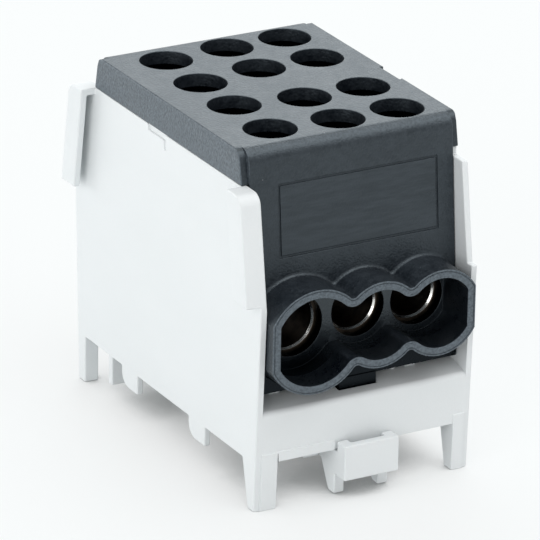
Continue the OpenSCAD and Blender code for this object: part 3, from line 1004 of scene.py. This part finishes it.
@dataclass
class MetalShell(MouldedShell):
    """The terminal body: outside edges broken, inside corners and the bores' chamfered mouths crisp.

    Attributes:
        mouth: distance from a bore's wall within which an edge belongs to its mouth.
    """

    outside: float = 0.12 * MM
    inside: float = 0.0
    mouth: float = 0.5 * MM

    def edge_radius(self, site: EdgeSite) -> float:
        """Returns the radius of an edge, 0 at a mouth."""
        off_wall = min(abs(c.off_axis(site.middle) - c.bore) for c in CONDUCTORS)
        return 0.0 if off_wall < self.mouth else super().edge_radius(site)


@dataclass
class InsertShell(MouldedShell):
    """The insulating insert, with the raised lip that the mould left round the collars' mouths.

    Attributes:
        fine: radius of the edges at the collars' mouths and floors.
        rim_outside: radius of an outside edge of the rim.
        rim_inside: radius of an inside edge of the rim.
        well_mouth: radius of the wells' mouths.
        root: radius of the fillet where a collar leaves its panel, at most.
        root_least: radius of that fillet, at least.
        root_rise: growth of that fillet with the height above the panel's foot.
        root_inward: growth of that fillet with the distance from the insert's sides.
        lip: width of the raised lip.
        groove: width of the groove inside it.
        drop: depth of the groove.
        slope: width of each side of the groove.
        outline: distance from the collar's outside within which the groove lies.
        lean: least and most that a panel's normal rises.
    """

    weld: float = 0.045 * MM
    fine: float = 0.08 * MM
    rim_outside: float = 0.3 * MM
    rim_inside: float = 0.1 * MM
    well_mouth: float = 0.12 * MM
    root: float = 0.6 * MM
    root_least: float = 0.1 * MM
    root_rise: float = 0.3
    root_inward: float = 0.25
    lip: float = 0.16 * MM
    groove: float = 0.12 * MM
    drop: float = 0.12 * MM
    slope: float = 0.04 * MM
    outline: float = 0.75 * MM
    lean: tuple[float, float] = (0.05, 0.12)

    def edge_radius(self, site: EdgeSite) -> float:
        """Chooses the radius of an edge.

        Args:
            site: the edge.

        Returns:
            The radius, 0 for the inside corners under the rim.
        """
        if site.up > RIM_FOOT + 0.2 * MM:
            return self.rim_radius(site)
        if site.hollow and site.up > RIM_FOOT - 0.5 * MM:
            return 0.0
        if site.hollow and self.meets_panel(site) and site.up > PANEL_FOOT + 0.5 * MM:
            return self.root_radius(site)
        if site.along > COLLAR_MOUTH - 0.15 * MM or abs(site.along - COLLAR_FLOOR) < 0.5 * MM:
            return self.fine
        return super().edge_radius(site)

    def meets_panel(self, site: EdgeSite) -> bool:
        """Returns True where one face of an edge is a leaning panel and the other stands out from it."""
        leaning = any(abs(n.y) > 0.99 and self.lean[0] < n.z < self.lean[1] for n in site.normals)
        return leaning and any(abs(n.y) < 0.1 for n in site.normals)

    def rim_radius(self, site: EdgeSite) -> float:
        """Chooses the radius of an edge of the rim.

        Args:
            site: the edge.

        Returns:
            The radius, 0 where a step of the rim runs out.
        """
        at_step = abs(site.aside - INSERT_HALF) < 0.05 * MM and site.along > 20 * MM
        at_corner = site.aside > WALL_OUTSIDE - 0.45 * MM and site.up > TOP - 0.7 * MM
        if at_step or at_corner:
            return 0.0
        inboard = site.aside < INSERT_HALF - 0.4 * MM and site.along < METAL_END - 0.4 * MM
        if inboard and site.up > TOP - 0.1 * MM:
            return self.well_mouth
        return self.rim_inside if site.hollow else self.rim_outside

    def root_radius(self, site: EdgeSite) -> float:
        """Chooses the radius of the fillet where a collar leaves its panel.

        Args:
            site: the edge.

        Returns:
            The radius, less near the panel's own edges.
        """
        over_foot = self.root_rise * (site.up - PANEL_FOOT)
        off_side = self.inside + self.root_inward * (INSERT_HALF - site.aside)
        return max(min(self.root, over_foot, off_side), self.root_least)

    def refine(self, piece: bpy.types.Object) -> None:
        """Sinks a groove beside the outer edge of each collar's mouth.

        Args:
            piece: the piece.
        """
        solid = bmesh.new()
        solid.from_mesh(piece.data)
        steps = ((self.lip, 0.0), (self.slope, self.drop), (self.groove, self.drop), (self.slope, 0.0))
        for side in (-1, 1):
            mouth = [face for face in solid.faces if face.normal.y * side > 0.999
                     and face.calc_center_median().y * side > COLLAR_MOUTH - 0.05 * MM]
            # Each inset leaves a strip behind, and the rest of the mouth moves to the strip's depth
            for width, drop in steps:
                bmesh.ops.inset_region(solid, faces=mouth, thickness=width,
                                       use_even_offset=True, use_boundary=True)
                for vert in {vert for face in mouth for vert in face.verts}:
                    sunk = drop if self.by_outline(vert.co) else 0.0
                    vert.co.y = side * (COLLAR_MOUTH - sunk)
        solid.to_mesh(piece.data)
        solid.free()

    def by_outline(self, point: Vector) -> bool:
        """Returns True where a point of the mouth lies nearer to the collar's outside than to its inside."""
        inset = max(c.lobe - c.off_axis(point) for c in CONDUCTORS)
        return min(inset, INSERT_HALF - abs(point.x - SHIFT)) < self.outline


@dataclass
class GrubScrew:
    """A hex-socket grub screw with a cut thread.

    Attributes:
        number: number of the screw, from 1.
        place: middle of its tip.
        radius: radius over the thread's crests.
        root: radius at the thread's roots.
        length: length over all.
        pitch: rise of the thread in a turn.
        rings: rings of points in a turn's rise.
        flat: half the hexagon's width across its flats.
        depth: depth of the socket.
        tip: height and width of the tip's chamfer.
        top: height and width of the top's chamfer.
        face: radius of the flat top.
        sink: radius of the countersink round the socket.
        sink_depth: depth of the countersink at the hexagon's corners.
        neck: least radius of the countersink at neck_depth.
        neck_depth: depth at which the countersink meets the hexagon's flats.
        point: radius of the socket's drilled bottom.
        point_rise: height of the cone above that bottom.
        flank: steepness of the thread's flanks.
        valley: share of the wave that its roots cut off.
        columns: points round the screw, a multiple of six.
        crease: angle between two faces, in degrees, above which the shading breaks.
    """

    number: int
    place: Vector
    radius: float = 3.95 * MM
    root: float = 3.3 * MM
    length: float = 12 * MM
    pitch: float = 1.25 * MM
    rings: int = 8
    flat: float = 2.0 * MM
    depth: float = 5 * MM
    tip: float = 1.2 * MM
    top: float = 0.6 * MM
    face: float = 3.35 * MM
    sink: float = 2.62 * MM
    sink_depth: float = 0.5 * MM
    neck: float = 2.32 * MM
    neck_depth: float = 0.3 * MM
    point: float = 0.25 * MM
    point_rise: float = 0.5 * MM
    flank: float = 2.6
    valley: float = 0.15
    columns: int = 48
    crease: float = 38.0

    def build(self, finishes: Finishes) -> bpy.types.Object:
        """Makes the screw.

        Args:
            finishes: where its surface comes from.

        Returns:
            The new object, which rides on its own body and hides the node.
        """
        name = f"{Body.SCREW.value}{self.number}"
        solid = bmesh.new()
        loops = [self.loop(solid, height, radius) for height, radius in self.profile()]
        for low, high in zip(loops, loops[1:]):
            for i in range(self.columns):
                j = (i + 1) % self.columns
                solid.faces.new((low[i], low[j], high[j], high[i]))
        solid.faces.new(reversed(loops[0]))
        solid.faces.new(loops[-1])
        mesh = bpy.data.meshes.new(name + "_threaded")
        solid.to_mesh(mesh)
        solid.free()
        mesh.polygons.foreach_set("use_smooth", [True] * len(mesh.polygons))
        mesh.set_sharp_from_angle(angle=math.radians(self.crease))
        mesh.materials.append(finishes.get(ZincSteel()))
        piece = bpy.data.objects.new(name + "_threaded", mesh)
        bpy.context.scene.collection.objects.link(piece)
        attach(piece, name)
        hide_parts(name)
        log.info("%s: %d faces", piece.name, len(mesh.polygons))
        return piece

    def profile(self) -> list[tuple[float, Callable[[float], float]]]:
        """Lists the rings of the screw, from the tip up the thread and down into the socket.

        Returns:
            For each ring its height, and its radius by angle.
        """
        step = self.pitch / self.rings
        last_gap = 0.25 * MM
        rows = int((self.length - last_gap) / step)
        heights = [row * step for row in range(rows + 1)]
        thread = [(height, partial(self.thread, height)) for height in heights]
        bottom = self.length - self.depth
        socket = [
            (self.length, lambda turn: self.face),
            (self.length, lambda turn: self.sink),
            (self.length - self.neck_depth, lambda turn: max(self.hexagon(turn), self.neck)),
            (self.length - self.sink_depth, self.hexagon),
            (bottom + self.point_rise, self.hexagon),
            (bottom, lambda turn: self.point),
        ]
        return thread + socket

    def thread(self, height: float, turn: float) -> float:
        """Works out the radius of the thread, less the chamfers of tip and top.

        Args:
            height: height above the tip.
            turn: angle about the screw, in radians.

        Returns:
            The radius.
        """
        phase = (height / self.pitch - turn / (2 * math.pi)) % 1.0
        wave = min(max(self.flank * abs(phase - 0.5) - self.valley, 0.0), 1.0)
        by_tip = self.radius - self.tip + height
        by_top = self.radius - self.top + (self.length - height)
        return min(self.root + (self.radius - self.root) * wave, by_tip, by_top)

    def hexagon(self, turn: float) -> float:
        """Returns the radius of the hexagon socket at an angle."""
        return self.flat / math.cos((turn % (math.pi / 3)) - math.pi / 6)

    def loop(self, solid: bmesh.types.BMesh, height: float,
             radius: Callable[[float], float]) -> list[bmesh.types.BMVert]:
        """Adds one ring of points.

        Args:
            solid: the mesh that takes them.
            height: height of the ring above the tip.
            radius: radius of the ring by angle.

        Returns:
            The points in order.
        """
        points = []
        for i in range(self.columns):
            turn = 2 * math.pi * i / self.columns
            reach = radius(turn)
            points.append(solid.verts.new(
                self.place + Vector((reach * math.cos(turn), reach * math.sin(turn), height))))
        return points


@dataclass(frozen=True)
class SoftBox:
    """A soft box lamp that faces the block.

    Attributes:
        name: name of the lamp.
        place: middle of the lamp.
        size: width and height.
        power: strength in watts.
        colour: colour of its light.
        aim: point that it faces.
    """

    name: str
    place: tuple[float, float, float]
    size: tuple[float, float]
    power: float
    colour: Colour = (1.0, 1.0, 1.0)
    aim: tuple[float, float, float] = (0.0, 0.0, 0.03)

    def build(self) -> None:
        """Makes the lamp."""
        data = bpy.data.lights.new(self.name, "AREA")
        data.shape = "RECTANGLE"
        data.size, data.size_y = self.size
        data.energy = self.power
        data.color = self.colour
        lamp = bpy.data.objects.new(self.name, data)
        bpy.context.scene.collection.objects.link(lamp)
        lamp.location = self.place
        lamp.rotation_euler = (Vector(self.aim) - Vector(self.place)).to_track_quat("-Z", "Y").to_euler()


@dataclass
class Studio:
    """White table, soft lights and the photograph's camera.

    Attributes:
        eye: place of the camera.
        aim: point at the middle of the picture.
        roll: turn of the camera about its view, in degrees.
        lens: focal length in millimetres on the sensor.
        sensor: width of the sensor in millimetres.
        lamps: the soft boxes.
        even_light: strength of the light that comes from all round.
        table_half: half the table's width.
    """

    eye: Vector = field(default_factory=lambda: Vector((-0.432715, -0.77008, 0.39024)))
    aim: Vector = field(default_factory=lambda: Vector((0.001035, 0.0, 0.02863)))
    roll: float = 0.98
    lens: float = 367.6
    sensor: float = 36.0
    lamps: tuple[SoftBox, ...] = (
        SoftBox("sky_back", (0.50, 0.95, 0.62), (1.1, 0.8), 4.7, (0.94, 0.99, 1.0)),
        SoftBox("low_left", (-0.62, 0.98, 0.17), (1.2, 0.32), 4.0, (0.95, 0.99, 1.0)),
        SoftBox("key_left", (-0.95, -0.52, 0.40), (0.8, 0.7), 3.9),
        SoftBox("over", (0.22, -0.28, 0.95), (0.9, 0.9), 5.0),
    )
    even_light: float = 0.58
    table_half: float = 4.0

    def build(self) -> None:
        """Makes the camera, the table, the lights and the surroundings."""
        self.camera()
        self.table()
        for lamp in self.lamps:
            lamp.build()
        self.surroundings()
        bpy.context.scene.view_settings.view_transform = "Standard"

    def camera(self) -> None:
        """Makes the camera that repeats the photograph's view."""
        data = bpy.data.cameras.new("camera")
        data.lens = self.lens
        data.sensor_width = self.sensor
        data.clip_start = 0.05
        data.clip_end = 20.0
        camera = bpy.data.objects.new("camera", data)
        bpy.context.scene.collection.objects.link(camera)
        view = (self.aim - self.eye).normalized()
        right = view.cross(Vector((0, 0, 1))).normalized()
        up = right.cross(view)
        turn = math.radians(self.roll)
        x = right * math.cos(turn) + up * math.sin(turn)
        y = up * math.cos(turn) - right * math.sin(turn)
        camera.matrix_world = Matrix.Translation(self.eye) @ Matrix((x, y, -view)).transposed().to_4x4()
        bpy.context.scene.camera = camera

    def table(self) -> None:
        """Makes the table top."""
        half = self.table_half
        corners = [(-half, -half, 0), (half, -half, 0), (half, half, 0), (-half, half, 0)]
        mesh = bpy.data.meshes.new("table")
        mesh.from_pydata(corners, [], [(0, 1, 2, 3)])
        mesh.materials.append(WhiteTable().make())
        table = bpy.data.objects.new("table", mesh)
        bpy.context.scene.collection.objects.link(table)

    def surroundings(self) -> None:
        """Sets the even light that comes from all round."""
        world = bpy.data.worlds.new("surroundings")
        bpy.context.scene.world = world
        world.use_nodes = True
        shade = world.node_tree.nodes["Background"]
        shade.inputs["Color"].default_value = (1.0, 1.0, 1.0, 1.0)
        shade.inputs["Strength"].default_value = self.even_light


@dataclass
class TerminalBlock:
    """The dressed block.

    Attributes:
        finishes: the finishes of its pieces.
    """

    finishes: Finishes = field(default_factory=Finishes)

    def shells(self) -> list[MouldedShell]:
        """Lists the moulded and machined pieces.

        Returns:
            The pieces, each with its body, slot and finish.
        """
        block = Body.BLOCK.value
        return [
            HousingShell("base_housing", block, Slot.PALE, PaleMoulding()),
            InsertShell("insulating_insert", block, Slot.BLACK, BlackMoulding()),
            MetalShell("terminal_body", block, Slot.METAL, PlatedBlock()),
            MouldedShell("rail_clip", Body.CLIP.value, Slot.PALE, PaleMoulding()),
        ]

    def screws(self) -> list[GrubScrew]:
        """Returns the twelve screws, column by column from the left, each from front to rear."""
        places = [Vector((c.x, y, c.z + c.bore + TIP_GAP)) for c in CONDUCTORS for y in c.rows]
        return [GrubScrew(number, place) for number, place in enumerate(places, 1)]

    def build(self) -> None:
        """Makes and dresses every piece."""
        for piece in (*self.shells(), *self.screws()):
            piece.build(self.finishes)


def main() -> None:
    """Builds the block and the studio."""
    TerminalBlock().build()
    Studio().build()


if __name__ == "__main__":
    main()
